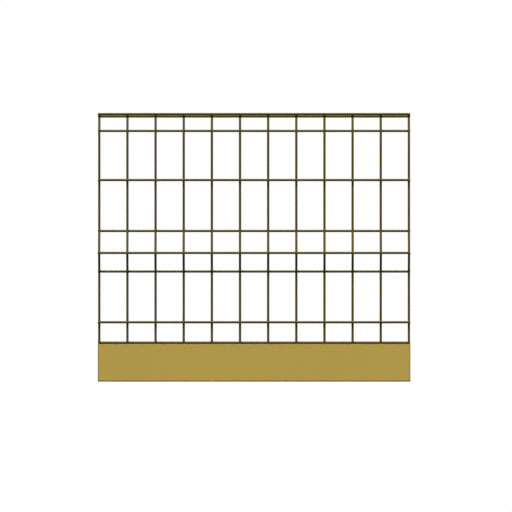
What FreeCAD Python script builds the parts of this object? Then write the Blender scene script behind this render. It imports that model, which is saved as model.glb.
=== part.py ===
import FreeCAD, Part
import math
import os

from FreeCAD import Vector

# Edge-protection panel of welded wire mesh with a toe board. Millimetres.
# X runs along the panel, +Y points away from the viewer, Z is up.
# The origin lies under the middle of the toe board, in line with the upright wires.

# Panel and mesh grid
panel_width = 1300.0
upright_count = 12
wire_end_overhang = 6.0

# Wires, measured across the flats of their twelve-sided section
upright_diameter = 10.0
line_wire_diameter = 10.0
wire_sides = 12
bend_radius = 35.0
weld_set_down = 0.8

# Heights between one line wire and the next, upwards from the toe board
sill_to_lower_line = 85.0
lower_line_to_fold = 209.5
fold_lower_rise = 79.0
fold_upper_rise = 92.5
fold_to_upper_line = 210.5
upper_line_to_head = 206.0

# Fold that stands out at the front, and head that leans back
fold_depth = 28.0
head_lean_degrees = 18.0
head_leg_to_top_rail = 69.0
top_rail_stagger = 4.0
upright_head_overhang = 2.0

# Hidden lower end of the mesh, behind the toe board
foot_wire_rise = 35.0
upright_foot_overhang = 12.0

# Toe board, one folded sheet
board_height = 157.0
sheet_thickness = 1.5
top_fold_radius = 0.8
bottom_fold_radius = 3.0
top_lip_depth = 18.0
bottom_flange_depth = 25.0
notch_clearance = 0.5

# Places that follow from the sizes above
seat_distance = (upright_diameter + line_wire_diameter) / 2 - weld_set_down
upright_pitch = (panel_width - 2 * wire_end_overhang) / (upright_count - 1)
first_upright_x = wire_end_overhang - panel_width / 2
upright_places = [first_upright_x + i * upright_pitch for i in range(upright_count)]
board_back_y = -upright_diameter / 2
board_front_y = board_back_y - sheet_thickness

foot_wire_z = sheet_thickness + foot_wire_rise
sill_wire_z = board_height + line_wire_diameter / 2
lower_line_z = sill_wire_z + sill_to_lower_line
fold_bottom_z = lower_line_z + lower_line_to_fold
fold_nose_z = fold_bottom_z + fold_lower_rise
fold_top_z = fold_nose_z + fold_upper_rise
upper_line_z = fold_top_z + fold_to_upper_line
head_bend_z = upper_line_z + upper_line_to_head

# Corners of the uprights' centre line, before its bends are rounded
head_lean = math.radians(head_lean_degrees)
head_upwards = Vector(0, math.sin(head_lean), math.cos(head_lean))
head_backwards = Vector(0, math.cos(head_lean), -math.sin(head_lean))
backwards = Vector(0, 1, 0)

foot_end = Vector(0, 0, foot_wire_z - upright_foot_overhang)
fold_bottom = Vector(0, 0, fold_bottom_z)
fold_nose = Vector(0, -fold_depth, fold_nose_z)
fold_top = Vector(0, 0, fold_top_z)
head_corner = Vector(0, 0, head_bend_z)
head_end = head_corner + head_upwards * (head_leg_to_top_rail + upright_head_overhang)


def unit(vector):
    """The same direction with a length of one."""
    return vector * (1 / vector.Length)


class Bend:
    """Round bend of an upright: its two tangent points, its crown and the way to its inside."""

    def __init__(self, before, corner, after):
        to_before = unit(before - corner)
        to_after = unit(after - corner)
        half_turn = (math.pi - to_before.getAngle(to_after)) / 2
        reach = bend_radius * math.tan(half_turn)
        self.inward = unit(to_before + to_after)
        self.start = corner + to_before * reach
        self.crown = corner + self.inward * (bend_radius / math.cos(half_turn) - bend_radius)
        self.end = corner + to_after * reach


fold_bottom_bend = Bend(foot_end, fold_bottom, fold_nose)
fold_nose_bend = Bend(fold_bottom, fold_nose, fold_top)
fold_top_bend = Bend(fold_nose, fold_top, head_corner)
head_bend = Bend(fold_top, head_corner, head_end)


def wire_section(diameter, centre, across, along):
    """Regular outline round a centre, with flats facing both of its directions."""
    corner_radius = diameter / 2 / math.cos(math.pi / wire_sides)
    corners = []
    for i in range(wire_sides + 1):
        angle = (2 * i + 1) * math.pi / wire_sides
        corners.append(centre + (across * math.cos(angle) + along * math.sin(angle)) * corner_radius)
    return Part.makePolygon(corners)


def make_upright():
    """Upright wire: its section carried up straight runs that are joined by tangent arcs."""
    path = []
    run_start = foot_end
    for bend in (fold_bottom_bend, fold_nose_bend, fold_top_bend, head_bend):
        path.append(Part.LineSegment(run_start, bend.start).toShape())
        path.append(Part.Arc(bend.start, bend.crown, bend.end).toShape())
        run_start = bend.end
    path.append(Part.LineSegment(run_start, head_end).toShape())
    section = wire_section(upright_diameter, foot_end, Vector(1, 0, 0), Vector(0, 1, 0))
    return Part.Wire(path).makePipeShell([section], True, True)


def make_line_wire(centre, uprights):
    """Wire along the panel, with a saddle pressed into it by each upright that it is welded to."""
    start = centre - Vector(panel_width / 2, 0, 0)
    section = wire_section(line_wire_diameter, start, Vector(0, 1, 0), Vector(0, 0, 1))
    return Part.Face(section).extrude(Vector(panel_width, 0, 0)).cut(uprights)


def fold_arc(centre, radius, side):
    """Quarter bend of the sheet, from its lip or flange to its web. Side is 1 on top, -1 below."""
    slant = radius * math.sqrt(0.5)
    on_flange = centre + Vector(0, 0, side * radius)
    middle = centre + Vector(0, -slant, side * slant)
    on_web = centre + Vector(0, -radius, 0)
    return on_flange, middle, on_web


def make_board_sheet():
    """Folded sheet of the toe board: a flat web, a lip along its top and a deeper bottom flange."""
    low_radius = bottom_fold_radius + sheet_thickness
    high_radius = top_fold_radius + sheet_thickness
    lip_end_y = board_front_y + top_lip_depth
    flange_end_y = board_front_y + bottom_flange_depth
    low_centre = Vector(0, board_front_y + low_radius, low_radius)
    high_centre = Vector(0, board_front_y + high_radius, board_height - high_radius)
    outer_low = fold_arc(low_centre, low_radius, -1)
    outer_high = fold_arc(high_centre, high_radius, 1)
    inner_low = fold_arc(low_centre, bottom_fold_radius, -1)
    inner_high = fold_arc(high_centre, top_fold_radius, 1)
    flange_under = Vector(0, flange_end_y, 0)
    flange_over = Vector(0, flange_end_y, sheet_thickness)
    lip_over = Vector(0, lip_end_y, board_height)
    lip_under = Vector(0, lip_end_y, board_height - sheet_thickness)

    outline = [
        Part.LineSegment(flange_under, outer_low[0]),
        Part.Arc(*outer_low),
        Part.LineSegment(outer_low[2], outer_high[2]),
        Part.Arc(*reversed(outer_high)),
        Part.LineSegment(outer_high[0], lip_over),
        Part.LineSegment(lip_over, lip_under),
        Part.LineSegment(lip_under, inner_high[0]),
        Part.Arc(*inner_high),
        Part.LineSegment(inner_high[2], inner_low[2]),
        Part.Arc(*reversed(inner_low)),
        Part.LineSegment(inner_low[0], flange_over),
        Part.LineSegment(flange_over, flange_under),
    ]
    profile = Part.Face(Part.Wire([curve.toShape() for curve in outline]))
    profile.translate(Vector(-panel_width / 2, 0, 0))
    return profile.extrude(Vector(panel_width, 0, 0))


def make_lip_notches():
    """Slots through the lip for the uprights behind the web. All are open at the lip's back edge, and the
    outermost two also at the board's ends."""
    width = upright_diameter + 2 * notch_clearance
    bottom_z = board_height - top_fold_radius - sheet_thickness
    height = 2 * (board_height - bottom_z)
    slot = Part.makeBox(width, top_lip_depth, height, Vector(-width / 2, board_back_y, bottom_z))
    notches = [slot.translated(Vector(x, 0, 0)) for x in upright_places]
    notches += [slot.translated(Vector(side * panel_width / 2, 0, 0)) for side in (-1, 1)]
    return notches


upright = make_upright()
uprights = [upright.translated(Vector(x, 0, 0)) for x in upright_places]

# Each line wire is seated on the front or the back of the uprights
line_wire_centres = {
    "foot_wire": Vector(0, 0, foot_wire_z) + backwards * seat_distance,
    "sill_wire": Vector(0, 0, sill_wire_z) + backwards * seat_distance,
    "lower_line_wire": Vector(0, 0, lower_line_z) - backwards * seat_distance,
    "fold_bottom_wire": fold_bottom_bend.crown - fold_bottom_bend.inward * seat_distance,
    "fold_nose_wire": fold_nose_bend.crown - fold_nose_bend.inward * seat_distance,
    "fold_top_wire": fold_top_bend.crown - fold_top_bend.inward * seat_distance,
    "upper_line_wire": Vector(0, 0, upper_line_z) - backwards * seat_distance,
    "head_bend_wire": head_bend.crown + head_bend.inward * seat_distance,
    "top_back_wire": head_corner + head_upwards * (head_leg_to_top_rail - top_rail_stagger)
                     + head_backwards * seat_distance,
    "top_rail_wire": head_corner + head_upwards * head_leg_to_top_rail
                     - head_backwards * seat_distance,
}

nodes = {"toe_board": make_board_sheet().cut(make_lip_notches())}
for number, shape in enumerate(uprights, start=1):
    nodes[f"upright_wire_{number:02d}"] = shape
for name, centre in line_wire_centres.items():
    nodes[name] = make_line_wire(centre, uprights)

os.makedirs("parts", exist_ok=True)
for name, shape in nodes.items():
    shape.exportStep(f"parts/{name}.step")
    box = shape.BoundBox
    print(f"{name:17s} valid {shape.isValid()}, {len(shape.Solids)} solid, {shape.Volume:9.1f} mm3,"
          f" y {box.YMin:6.2f} to {box.YMax:5.2f}, z {box.ZMin:7.2f} to {box.ZMax:7.2f}")
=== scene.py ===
import math

import bpy
import numpy as np
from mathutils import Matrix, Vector


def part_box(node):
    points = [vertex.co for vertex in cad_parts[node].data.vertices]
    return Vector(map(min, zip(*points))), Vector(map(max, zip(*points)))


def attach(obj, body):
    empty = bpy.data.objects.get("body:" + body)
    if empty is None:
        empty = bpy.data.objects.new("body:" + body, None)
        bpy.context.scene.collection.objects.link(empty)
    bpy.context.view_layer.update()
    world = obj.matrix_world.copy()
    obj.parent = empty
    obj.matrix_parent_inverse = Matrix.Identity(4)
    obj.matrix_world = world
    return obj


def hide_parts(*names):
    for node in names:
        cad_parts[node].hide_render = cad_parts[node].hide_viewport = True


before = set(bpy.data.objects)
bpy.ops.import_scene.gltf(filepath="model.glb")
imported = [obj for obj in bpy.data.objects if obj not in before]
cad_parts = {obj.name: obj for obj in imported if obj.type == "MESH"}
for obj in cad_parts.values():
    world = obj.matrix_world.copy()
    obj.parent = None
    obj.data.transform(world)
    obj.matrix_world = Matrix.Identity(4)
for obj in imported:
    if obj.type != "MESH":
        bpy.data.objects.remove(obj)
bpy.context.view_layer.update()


# Viewpoint
# The panel is seen square from the front and level, from so far away that its edges stay parallel.
# One pixel of the photograph spans 4.16 mm in the plane of the mesh.
photo_side_px = 512
metres_per_px = 0.00416
panel_middle_px = 254.09
panel_foot_px = 381.6
camera_distance = 30.0
sensor_width = 36.0

camera = bpy.data.objects.new("camera", bpy.data.cameras.new("camera"))
bpy.context.scene.collection.objects.link(camera)
camera.location = (
    (photo_side_px / 2 - panel_middle_px) * metres_per_px,
    -camera_distance,
    (panel_foot_px - photo_side_px / 2) * metres_per_px,
)
camera.rotation_euler = (math.pi / 2, 0, 0)
camera.data.sensor_width = sensor_width
camera.data.lens = sensor_width * camera_distance / (photo_side_px * metres_per_px)
camera.data.clip_end = 2 * camera_distance
bpy.context.scene.camera = camera


# Upright wires
# Twelve drawn steel wires, cut to length and bent in one jig: a fold that stands out at the front stiffens
# the mesh, and the head leans back. Their powder coat is a deep olive ochre, much darker than the board's.
upright_nodes = sorted(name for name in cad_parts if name.startswith("upright_wire_"))
foot_low, foot_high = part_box(upright_nodes[0])
wire_radius = (foot_high.x - foot_low.x) / 2
bend_radius = 0.035
fold_bottom_z = 0.4565
fold_nose_z = 0.5355
fold_top_z = 0.628
fold_depth = 0.028
head_bend_z = 1.0445
head_leg = 0.071
head_lean = math.radians(18)
wire_facets = 32
arc_steps = 9
cut_edge_radius = 0.0007
cut_edge_steps = 5
straight_lead = 0.001
wire_tone = (0.079, 0.0595, 0.006)
wire_deep_tone = (0.069, 0.052, 0.005)
drift_detail = 3
peel_detail = 2
grain_roughness = (0.46, 0.62)
coat_reflection = 0.09

upright_corners = np.array([
    (0, foot_low.z),
    (0, fold_bottom_z),
    (-fold_depth, fold_nose_z),
    (0, fold_top_z),
    (0, head_bend_z),
    (head_leg * math.sin(head_lean), head_bend_z + head_leg * math.cos(head_lean)),
])


def unit(vectors):
    """Each row divided by its length."""
    return vectors / np.linalg.norm(vectors, axis=-1, keepdims=True)


def bent_path(corners, radius, steps):
    """Centre line of a bent wire, as (y, z) points and directions: straight runs joined by tangent arcs.

    The arc at a corner has its centre on the corner's bisector, radius / cos(half turn) away. Its points lie
    a radius from that centre, in directions that swing evenly by half the turn to each side of the bisector.
    One more point in the run before and after each arc keeps the runs straight to the light."""
    to_before = unit(corners[:-2] - corners[1:-1])
    to_after = unit(corners[2:] - corners[1:-1])
    inward = unit(to_before + to_after)
    half_turn = np.pi / 2 - np.arccos((to_before * to_after).sum(1)) / 2
    centres = corners[1:-1] + inward * (radius / np.cos(half_turn))[:, None]
    side = np.sign(to_before[:, 0] * to_after[:, 1] - to_before[:, 1] * to_after[:, 0])
    swing = (side * half_turn)[:, None] * np.linspace(-1, 1, steps)
    outward_y = -np.cos(swing) * inward[:, :1] - np.sin(swing) * inward[:, 1:]
    outward_z = np.sin(swing) * inward[:, :1] - np.cos(swing) * inward[:, 1:]
    arcs = centres[:, None] + radius * np.stack([outward_y, outward_z], axis=-1)
    forward = np.stack([outward_z, -outward_y], axis=-1) * side[:, None, None]
    lead_in = arcs[:, :1] - straight_lead * forward[:, :1]
    lead_out = arcs[:, -1:] + straight_lead * forward[:, -1:]
    arcs = np.concatenate([lead_in, arcs, lead_out], axis=1)
    forward = np.concatenate([forward[:, :1], forward, forward[:, -1:]], axis=1)
    points = np.vstack([corners[:1], arcs.reshape(-1, 2), corners[-1:]])
    first_way = unit(corners[1:2] - corners[:1])
    last_way = unit(corners[-1:] - corners[-2:-1])
    return points, np.vstack([first_way, forward.reshape(-1, 2), last_way])


def cut_ends(points, ways, radius, edge):
    """The path with rings added for its two sheared ends, and each ring's radius.

    Each end's rings follow a quarter circle of the edge's radius, from the flat cut face out to the full
    wire, and one more lies a little further along the straight run."""
    quarter = np.linspace(0, np.pi / 2, cut_edge_steps)
    depth = np.append(edge * (1 - np.cos(quarter)), edge + straight_lead)[:, None]
    narrow = np.append(radius - edge + edge * np.sin(quarter), radius)
    start = points[:1] + depth * ways[:1]
    end = points[-1:] - depth[::-1] * ways[-1:]
    start_ways = np.repeat(ways[:1], len(depth), 0)
    end_ways = np.repeat(ways[-1:], len(depth), 0)
    rings = np.vstack([start, points[1:-1], end])
    ring_ways = np.vstack([start_ways, ways[1:-1], end_ways])
    radii = np.concatenate([narrow, np.full(len(points) - 2, radius), narrow[::-1]])
    return rings, ring_ways, radii


def skin(rings):
    """Closed surface over rings of points, an array (ring, point, 3), with a point in each end's middle.

    Neighbouring rings are joined by quads that wrap round without a seam, and each end by a fan."""
    count, around, _ = rings.shape
    points = np.vstack([rings.reshape(-1, 3), rings[0].mean(0), rings[-1].mean(0)])
    index = np.arange(count * around).reshape(count, around)
    onward = np.roll(index, -1, axis=1)
    quads = np.stack([index[:-1], onward[:-1], onward[1:], index[1:]], axis=-1).reshape(-1, 4)
    first, last = count * around, count * around + 1
    start_fan = np.stack([onward[0], index[0], np.full(around, first)], axis=-1)
    end_fan = np.stack([index[-1], onward[-1], np.full(around, last)], axis=-1)
    return points, quads.tolist() + start_fan.tolist() + end_fan.tolist()


def wire_surface(centres, ways, across, radii):
    """Round bar: centre + radius * (cos a * across + sin a * (way x across)) on every ring."""
    angle = np.linspace(0, 2 * np.pi, wire_facets, endpoint=False)[:, None]
    upward = np.cross(ways, across)
    ring = np.cos(angle) * np.asarray(across) + np.sin(angle) * upward[:, None]
    return skin(centres[:, None] + radii[:, None, None] * ring)


def add_piece(name, points, faces, slot, finish):
    """Smooth mesh object that rides on the panel, with the given finish. Its slot is not used."""
    mesh = bpy.data.meshes.new(name)
    mesh.from_pydata(points.tolist(), [], faces)
    mesh.shade_smooth()
    mesh.materials.append(finish)
    piece = bpy.data.objects.new(name, mesh)
    bpy.context.scene.collection.objects.link(piece)
    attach(piece, "root")
    return piece


def make_powder_coat():
    """Node group for the baked powder coat: drifting tone, orange peel, and grains that dull the sheen."""
    group = bpy.data.node_groups.new("powder coat", "ShaderNodeTree")
    face = group.interface
    face.new_socket("Colour", in_out="INPUT", socket_type="NodeSocketColor")
    face.new_socket("Deep colour", in_out="INPUT", socket_type="NodeSocketColor")
    face.new_socket("Drift per metre", in_out="INPUT", socket_type="NodeSocketFloat")
    face.new_socket("Peel per metre", in_out="INPUT", socket_type="NodeSocketFloat")
    face.new_socket("Peel depth", in_out="INPUT", socket_type="NodeSocketFloat")
    face.new_socket("Colour", in_out="OUTPUT", socket_type="NodeSocketColor")
    face.new_socket("Roughness", in_out="OUTPUT", socket_type="NodeSocketFloat")
    face.new_socket("Normal", in_out="OUTPUT", socket_type="NodeSocketVector")
    given = group.nodes.new("NodeGroupInput")
    made = group.nodes.new("NodeGroupOutput")
    place = group.nodes.new("ShaderNodeTexCoord")

    drift = group.nodes.new("ShaderNodeTexNoise")
    drift.inputs["Detail"].default_value = drift_detail
    tone = group.nodes.new("ShaderNodeMix")
    tone.data_type = "RGBA"
    group.links.new(place.outputs["Object"], drift.inputs["Vector"])
    group.links.new(given.outputs["Drift per metre"], drift.inputs["Scale"])
    group.links.new(drift.outputs["Fac"], tone.inputs["Factor"])
    group.links.new(given.outputs["Colour"], tone.inputs["A"])
    group.links.new(given.outputs["Deep colour"], tone.inputs["B"])
    group.links.new(tone.outputs["Result"], made.inputs["Colour"])

    peel = group.nodes.new("ShaderNodeTexNoise")
    peel.inputs["Detail"].default_value = peel_detail
    bump = group.nodes.new("ShaderNodeBump")
    bump.inputs["Strength"].default_value = 1
    group.links.new(place.outputs["Object"], peel.inputs["Vector"])
    group.links.new(given.outputs["Peel per metre"], peel.inputs["Scale"])
    group.links.new(given.outputs["Peel depth"], bump.inputs["Distance"])
    group.links.new(peel.outputs["Fac"], bump.inputs["Height"])
    group.links.new(bump.outputs["Normal"], made.inputs["Normal"])

    sheen = group.nodes.new("ShaderNodeMapRange")
    sheen.inputs["To Min"].default_value = grain_roughness[0]
    sheen.inputs["To Max"].default_value = grain_roughness[1]
    group.links.new(peel.outputs["Fac"], sheen.inputs["Value"])
    group.links.new(sheen.outputs["Result"], made.inputs["Roughness"])
    return group


powder_coat = make_powder_coat()


def make_paint(name, colour, deep_colour, drift_per_metre, peel_per_metre, peel_depth):
    """Satin paint: the powder coat group on a shader with a low, broad reflection."""
    paint = bpy.data.materials.new(name)
    paint.use_nodes = True
    nodes, links = paint.node_tree.nodes, paint.node_tree.links
    shader = nodes["Principled BSDF"]
    shader.inputs["Specular IOR Level"].default_value = coat_reflection
    coat = nodes.new("ShaderNodeGroup")
    coat.node_tree = powder_coat
    coat.inputs["Colour"].default_value = (*colour, 1)
    coat.inputs["Deep colour"].default_value = (*deep_colour, 1)
    coat.inputs["Drift per metre"].default_value = drift_per_metre
    coat.inputs["Peel per metre"].default_value = peel_per_metre
    coat.inputs["Peel depth"].default_value = peel_depth
    links.new(coat.outputs["Colour"], shader.inputs["Base Color"])
    links.new(coat.outputs["Roughness"], shader.inputs["Roughness"])
    links.new(coat.outputs["Normal"], shader.inputs["Normal"])
    return paint


wire_paint = make_paint(
    "wire powder coat", wire_tone, wire_deep_tone,
    drift_per_metre=9, peel_per_metre=350, peel_depth=0.00018,
)

path, path_ways = bent_path(upright_corners, bend_radius, arc_steps)
rings, ring_ways, ring_radii = cut_ends(path, path_ways, wire_radius, cut_edge_radius)
for node in upright_nodes:
    low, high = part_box(node)
    middle = np.full((len(rings), 1), (low.x + high.x) / 2)
    points, faces = wire_surface(
        np.hstack([middle, rings]),
        np.hstack([np.zeros_like(middle), ring_ways]),
        (1, 0, 0),
        ring_radii,
    )
    piece = add_piece(node.replace("upright_wire", "bent_upright"), points, faces, "wire_paint", wire_paint)
    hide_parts(node)


# Line wires
# Ten straight wires of the same stock lie across the uprights, four of them in front and six behind, and are
# pressed a little into them by the resistance welder. The topmost two hold the uprights' heads between them.
line_nodes = [
    "foot_wire", "sill_wire", "lower_line_wire", "fold_bottom_wire", "fold_nose_wire", "fold_top_wire",
    "upper_line_wire", "head_bend_wire", "top_back_wire", "top_rail_wire",
]
line_centres = {}
for node in line_nodes:
    low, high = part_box(node)
    line_centres[node] = np.array([(low.y + high.y) / 2, (low.z + high.z) / 2])
    run = np.array([[low.x], [high.x]])
    run_rings, run_ways, run_radii = cut_ends(run, np.ones((2, 1)), (high.z - low.z) / 2, cut_edge_radius)
    points, faces = wire_surface(
        np.hstack([run_rings, np.tile(line_centres[node], (len(run_rings), 1))]),
        np.hstack([run_ways, np.zeros((len(run_ways), 2))]),
        (0, 1, 0),
        run_radii,
    )
    piece = add_piece("straight_" + node, points, faces, "wire_paint", wire_paint)
    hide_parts(node)


# Resistance welds
# Where two wires cross they are melted together, and a low collar of squeezed-out steel stands round the
# joint, fuller between the wires than along them. No two of the 120 are quite alike, and all are coated
# with the wires.
collar_reach = 0.0046
collar_lobes = 0.07
collar_unevenness = 0.035
collar_bulge = 0.14
collar_sink = 0.0004
collar_facets = 32
collar_rings = 7
weld_tone = (0.073, 0.0545, 0.0055)
weld_deep_tone = (0.060, 0.045, 0.0045)
weld_chance = np.random.default_rng(5)


def nearest_on_path(place, path):
    """Point of a path of straight steps that lies nearest to a place: the best of the feet on its steps."""
    starts, steps = path[:-1], np.diff(path, axis=0)
    share = ((place - starts) * steps).sum(1) / (steps ** 2).sum(1)
    feet = starts + share.clip(0, 1)[:, None] * steps
    return feet[np.linalg.norm(place - feet, axis=1).argmin()]


def weld_collar(distance, radius):
    """Collar between two crossed bars, as rings of (along line wire, along upright, outward) offsets.

    At angle a it reaches out by reach * (1 - lobes * cos 4a + three small waves of chance height and phase).
    Over a point (u, v) the upright's skin stands sqrt(radius^2 - u^2) out, and the line wire's begins at
    distance - sqrt(radius^2 - v^2). The rings climb evenly from a little inside one to a little inside the
    other, and draw in towards both by bulge * climb^2."""
    angle = np.linspace(0, 2 * np.pi, collar_facets, endpoint=False)
    waves = np.array([2, 3, 5])[:, None]
    heights = weld_chance.normal(0, collar_unevenness, (3, 1))
    phases = weld_chance.uniform(0, 2 * np.pi, (3, 1))
    uneven = (heights * np.cos(waves * angle + phases)).sum(0)
    reach = collar_reach * (1 - collar_lobes * np.cos(4 * angle) + uneven)
    climb = np.linspace(-1, 1, collar_rings)[:, None]
    reach = reach * (1 - collar_bulge * climb ** 2)
    u, v = reach * np.cos(angle), reach * np.sin(angle)
    from_upright = np.sqrt(radius ** 2 - u ** 2) - collar_sink
    from_line = distance - np.sqrt(radius ** 2 - v ** 2) + collar_sink
    outward = from_upright + (climb + 1) / 2 * (from_line - from_upright)
    return np.stack([u, v, outward], axis=-1)


def join(surfaces):
    """Several closed surfaces as one: points stacked, and each one's faces counted on from the last."""
    starts = np.cumsum([0] + [len(points) for points, faces in surfaces])
    faces = [[start + i for i in face] for start, (_, some) in zip(starts, surfaces) for face in some]
    return np.vstack([points for points, _ in surfaces]), faces


upright_middles = [sum(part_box(node), Vector()).x / 2 for node in upright_nodes]
weld_paint = make_paint(
    "weld powder coat", weld_tone, weld_deep_tone,
    drift_per_metre=60, peel_per_metre=400, peel_depth=0.0002,
)
for node, centre in line_centres.items():
    seat = nearest_on_path(centre, path)
    outward = np.array([0, *unit(centre - seat)])
    along_line = np.array([1, 0, 0])
    turned = np.stack([along_line, np.cross(outward, along_line), outward])
    collars = []
    for x in upright_middles:
        offsets = weld_collar(np.linalg.norm(centre - seat), wire_radius)
        collars.append(skin(np.array([x, *seat]) + offsets @ turned))
    add_piece("welds_" + node, *join(collars), "wire_paint", weld_paint)


# Toe board
# One sheet of 1.5 mm steel, folded to a flat web with a lip along its top and a deeper flange at its foot.
# The lip is slotted for the uprights, which run down behind the web. The coat rounds the cut edges, and
# painted shade darkens the colour along the outside of the two folds and at the two ends.
board_low, board_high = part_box("toe_board")
sheet = 0.0015
low_fold_radius = 0.0045
high_fold_radius = 0.0023
low_fold_centre = (board_low.y + low_fold_radius, low_fold_radius)
high_fold_centre = (board_low.y + high_fold_radius, board_high.z - high_fold_radius)
lip_depth = 0.018
slot_clearance = 0.0005
fold_steps = 6
edge_round = 0.0003
edge_steps = 2
edge_angle = math.radians(50)
board_tone = (0.45, 0.327, 0.0695)
board_deep_tone = (0.428, 0.311, 0.066)
# Painted shade: the dark tone laid along the outside of the board's folds and at its ends.
painted_edge_shade_tone = (0.04, 0.034, 0.018)
upper_shade_line = (board_low.y + 0.00133, board_high.z - 0.00022)
lower_shade_line = (board_low.y + 0.001, 0.0025)
end_shade_x = board_high.x - 0.001
shade_reach = 0.0022
shade_waver = 0.0016
shade_noise_per_metre = 150
shade_noise_detail = 3


def board_profile():
    """Middle line of the folded sheet as (y, z) points, from the flange's edge up the web to the lip's edge.

    Each fold is a quarter circle of the outer radius less half a sheet, with one more point on the flat to
    both of its sides. The upper fold has a point where it passes the back of the web, and the number of that
    point is returned too, because the slots begin there."""
    low_radius, high_radius = low_fold_radius - sheet / 2, high_fold_radius - sheet / 2
    past_web = np.arccos((high_fold_radius - sheet) / high_radius)
    low_turn = np.linspace(0, np.pi / 2, fold_steps)
    high_turn = np.append(
        np.linspace(0, past_web, fold_steps),
        np.linspace(past_web, np.pi / 2, fold_steps)[1:],
    )
    low_fold = low_fold_centre - low_radius * np.stack([np.sin(low_turn), np.cos(low_turn)], axis=-1)
    high_fold = high_fold_centre + high_radius * np.stack([-np.cos(high_turn), np.sin(high_turn)], axis=-1)
    flange = [(board_high.y, sheet / 2), low_fold[0] + (straight_lead, 0)]
    web = [low_fold[-1] + (0, straight_lead), high_fold[0] - (0, straight_lead)]
    lip = [high_fold[-1] + (straight_lead, 0), (board_low.y + lip_depth, board_high.z - sheet / 2)]
    slot_start = len(flange) + len(low_fold) + len(web) + fold_steps - 1
    return np.vstack([flange, low_fold, web, high_fold, lip]), slot_start


def slotted_sheet(profile, slot_start, columns, slotted):
    """Profile carried along x to every column. Slotted columns have no faces from their slot's start on."""
    rows = len(profile)
    x = np.repeat(columns, rows)
    points = np.column_stack([x, np.tile(profile, (len(columns), 1))])
    index = np.arange(len(columns) * rows).reshape(len(columns), rows)
    quads = np.stack([index[:-1, :-1], index[1:, :-1], index[1:, 1:], index[:-1, 1:]], axis=-1)
    kept = np.ones(quads.shape[:2], bool)
    kept[slotted, slot_start:] = False
    return points, quads[kept].tolist()


def worked_out(tree, operation, *terms):
    """Value of a Math node whose terms are sockets or plain numbers."""
    node = tree.nodes.new("ShaderNodeMath")
    node.operation = operation
    for given, term in zip(node.inputs, terms):
        if isinstance(term, bpy.types.NodeSocket):
            tree.links.new(term, given)
        else:
            given.default_value = term
    return node.outputs["Value"]


def distance_from(tree, spot, section_point):
    """Distance of the spot being painted from a (y, z) point of the board's section."""
    node = tree.nodes.new("ShaderNodeVectorMath")
    node.operation = "DISTANCE"
    node.inputs[1].default_value = (0, *section_point)
    tree.links.new(spot, node.inputs[0])
    return node.outputs["Value"]


def paint_edge_shade(paint):
    """Darkens the board's paint along the outside of its folds and towards its two ends, as painted shade
    lines.

    The distance to the nearest shade line, or to the end less the shade there, is shaken by waver * noise.
    The painted shade tone fades by smoothstep, from full where that is half the reach to none where it is
    the reach.
    Inside a fold, where its centre is nearer than the middle of its sheet, twice the reach is added, so
    nothing is shaded there."""
    tree = paint.node_tree
    place = tree.nodes.new("ShaderNodeTexCoord")
    axes = tree.nodes.new("ShaderNodeSeparateXYZ")
    section = tree.nodes.new("ShaderNodeCombineXYZ")
    tree.links.new(place.outputs["Object"], axes.inputs["Vector"])
    tree.links.new(axes.outputs["Y"], section.inputs["Y"])
    tree.links.new(axes.outputs["Z"], section.inputs["Z"])
    nearest = worked_out(tree, "SUBTRACT", end_shade_x, worked_out(tree, "ABSOLUTE", axes.outputs["X"]))
    for shade_line, fold_centre, fold_radius in (
        (upper_shade_line, high_fold_centre, high_fold_radius),
        (lower_shade_line, low_fold_centre, low_fold_radius),
    ):
        from_line = distance_from(tree, section.outputs["Vector"], shade_line)
        from_centre = distance_from(tree, section.outputs["Vector"], fold_centre)
        inside = worked_out(tree, "LESS_THAN", from_centre, fold_radius - sheet / 2)
        outside_only = worked_out(tree, "MULTIPLY_ADD", inside, 2 * shade_reach, from_line)
        nearest = worked_out(tree, "MINIMUM", outside_only, nearest)

    noise = tree.nodes.new("ShaderNodeTexNoise")
    noise.inputs["Scale"].default_value = shade_noise_per_metre
    noise.inputs["Detail"].default_value = shade_noise_detail
    tree.links.new(place.outputs["Object"], noise.inputs["Vector"])
    shaken = worked_out(tree, "MULTIPLY_ADD", noise.outputs["Fac"], shade_waver, nearest)
    fade = tree.nodes.new("ShaderNodeMapRange")
    fade.interpolation_type = "SMOOTHSTEP"
    fade.inputs["From Min"].default_value = shade_reach / 2 + shade_waver / 2
    fade.inputs["From Max"].default_value = shade_reach + shade_waver / 2
    fade.inputs["To Min"].default_value = 1
    fade.inputs["To Max"].default_value = 0
    tree.links.new(shaken, fade.inputs["Value"])

    tone = tree.nodes.new("ShaderNodeMix")
    tone.data_type = "RGBA"
    # The painted shade tone, mixed over the board's paint.
    tone.inputs["B"].default_value = (*painted_edge_shade_tone, 1)
    base = tree.nodes["Principled BSDF"].inputs["Base Color"]
    tree.links.new(fade.outputs["Result"], tone.inputs["Factor"])
    tree.links.new(base.links[0].from_socket, tone.inputs["A"])
    tree.links.new(tone.outputs["Result"], base)


profile, slot_start = board_profile()
slot_half = wire_radius + slot_clearance
columns = np.array([[x - slot_half, x + slot_half] for x in upright_middles]).ravel()
columns[0], columns[-1] = board_low.x, board_high.x
points, faces = slotted_sheet(profile, slot_start, columns, np.arange(0, len(columns) - 1, 2))
board_paint = make_paint(
    "board powder coat", board_tone, board_deep_tone,
    drift_per_metre=5, peel_per_metre=350, peel_depth=0.00015,
)
# Paints dark shade lines along the outside of the board's folds and at its two ends.
paint_edge_shade(board_paint)
board = add_piece("folded_board", points, faces, "board_paint", board_paint)
wall = board.modifiers.new("sheet", "SOLIDIFY")
wall.thickness = sheet
wall.offset = 0
wall.use_even_offset = True
rounding = board.modifiers.new("coated edges", "BEVEL")
rounding.width = edge_round
rounding.segments = edge_steps
rounding.limit_method = "ANGLE"
rounding.angle_limit = edge_angle
rounding.harden_normals = True
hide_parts("toe_board")


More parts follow.
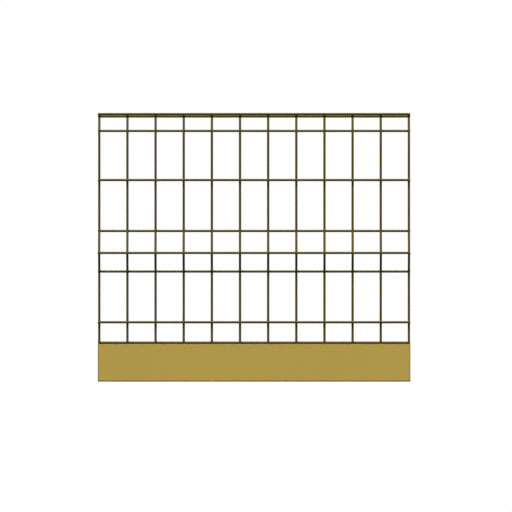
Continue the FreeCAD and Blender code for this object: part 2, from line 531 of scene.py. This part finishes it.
# Board tacks
# Short hand-laid beads join the web's back to both sides of every upright, low down and again under the lip.
# Each is a rippled ridge of weld metal with rounded ends.
tack_heights = (0.068, 0.128)
tack_length = 0.015
tack_length_spread = (0.85, 1.15)
tack_radius = 0.0019
tack_fullness_spread = (0.92, 1.05)
tack_side = 0.0039
tack_rise = 0.0008
tack_ripples = 7
tack_ripple_height = 0.06
tack_least_fullness = 0.01
tack_facets = 16
tack_rings = 25
tack_chance = np.random.default_rng(11)


def tack_bead(middle):
    """Bead along z: its radius is tack_radius * sqrt(1 - s^4), for s from -1 to 1, under small ripples."""
    s = np.linspace(-1, 1, tack_rings)
    length = tack_length * tack_chance.uniform(*tack_length_spread)
    fullness = tack_chance.uniform(*tack_fullness_spread)
    phase = tack_chance.uniform(0, 2 * np.pi)
    ripples = 1 + tack_ripple_height * np.sin(tack_ripples * np.pi * s + phase)
    radii = fullness * tack_radius * np.sqrt((1 - s ** 4).clip(tack_least_fullness)) * ripples
    angle = np.linspace(0, 2 * np.pi, tack_facets, endpoint=False)[:, None]
    ring = np.cos(angle) * np.array([1, 0, 0]) + np.sin(angle) * np.array([0, 1, 0])
    rise = np.outer(s * length / 2, [0, 0, 1])
    return skin(middle + rise[:, None] + radii[:, None, None] * ring)


web_back = board_low.y + sheet
beads = []
for x in upright_middles:
    for side in (-1, 1):
        for z in tack_heights:
            beads.append(tack_bead(np.array([x + side * tack_side, web_back + tack_rise, z])))
add_piece("board_tacks", *join(beads), "board_paint", weld_paint)


# Studio
# A pale floor, white to the eye and dim in what it throws back, a broad lamp high in front and a weaker one
# behind, under an even sky.
sky_level = 0.10
key_elevation = math.radians(69.5)
key_azimuth = math.radians(-14)
key_strength = 7.0
back_elevation = math.radians(28)
back_azimuth = math.radians(160)
back_strength = 2.0
lamp_angle = math.radians(14)
lamp_distance = 4
floor_half = 6.0
floor_drop = 0.0002
floor_glow = 0.75
floor_colour = (0.12, 0.12, 0.12, 1)
white = (1, 1, 1, 1)


def add_lamp(name, azimuth, elevation, strength):
    """Even light from far away, as from a large softbox. Azimuth 0 is in front and grows to the right."""
    lamp = bpy.data.objects.new(name, bpy.data.lights.new(name, "SUN"))
    bpy.context.scene.collection.objects.link(lamp)
    lamp.data.energy = strength
    lamp.data.angle = lamp_angle
    towards = Vector((
        math.sin(azimuth) * math.cos(elevation),
        -math.cos(azimuth) * math.cos(elevation),
        math.sin(elevation),
    ))
    lamp.rotation_euler = towards.to_track_quat("Z", "Y").to_euler()
    lamp.location = towards * lamp_distance


def seen_directly(tree):
    """1 for what the camera, a reflection or glass sees, 0 for what lights the object."""
    path = tree.nodes.new("ShaderNodeLightPath")
    either = worked_out(tree, "MAXIMUM", path.outputs["Is Camera Ray"], path.outputs["Is Glossy Ray"])
    return worked_out(tree, "MAXIMUM", either, path.outputs["Is Transmission Ray"])


add_lamp("front softbox", key_azimuth, key_elevation, key_strength)
add_lamp("back softbox", back_azimuth, back_elevation, back_strength)

world = bpy.data.worlds.new("studio")
bpy.context.scene.world = world
world.use_nodes = True
tree = world.node_tree
lighting = tree.nodes["Background"]
lighting.inputs["Color"].default_value = white
lighting.inputs["Strength"].default_value = sky_level
backdrop = tree.nodes.new("ShaderNodeBackground")
backdrop.inputs["Color"].default_value = white
backdrop.inputs["Strength"].default_value = 1
choice = tree.nodes.new("ShaderNodeMixShader")
tree.links.new(seen_directly(tree), choice.inputs[0])
tree.links.new(lighting.outputs[0], choice.inputs[1])
tree.links.new(backdrop.outputs[0], choice.inputs[2])
tree.links.new(choice.outputs[0], tree.nodes["World Output"].inputs["Surface"])

floor_mesh = bpy.data.meshes.new("floor")
floor_mesh.from_pydata(
    [(x * floor_half, y * floor_half, -floor_drop) for x, y in ((-1, -1), (1, -1), (1, 1), (-1, 1))],
    [], [(0, 1, 2, 3)],
)
floor_paint = bpy.data.materials.new("pale floor")
floor_paint.use_nodes = True
tree = floor_paint.node_tree
tree.nodes.remove(tree.nodes["Principled BSDF"])
matt = tree.nodes.new("ShaderNodeBsdfDiffuse")
matt.inputs["Color"].default_value = floor_colour
glow = tree.nodes.new("ShaderNodeEmission")
glow.inputs["Strength"].default_value = floor_glow
lit = tree.nodes.new("ShaderNodeAddShader")
choice = tree.nodes.new("ShaderNodeMixShader")
tree.links.new(glow.outputs[0], lit.inputs[0])
tree.links.new(matt.outputs[0], lit.inputs[1])
tree.links.new(seen_directly(tree), choice.inputs[0])
tree.links.new(matt.outputs[0], choice.inputs[1])
tree.links.new(lit.outputs[0], choice.inputs[2])
tree.links.new(choice.outputs[0], tree.nodes["Material Output"].inputs["Surface"])
floor_mesh.materials.append(floor_paint)
floor = bpy.data.objects.new("floor", floor_mesh)
bpy.context.scene.collection.objects.link(floor)

bpy.context.scene.view_settings.view_transform = "Standard"
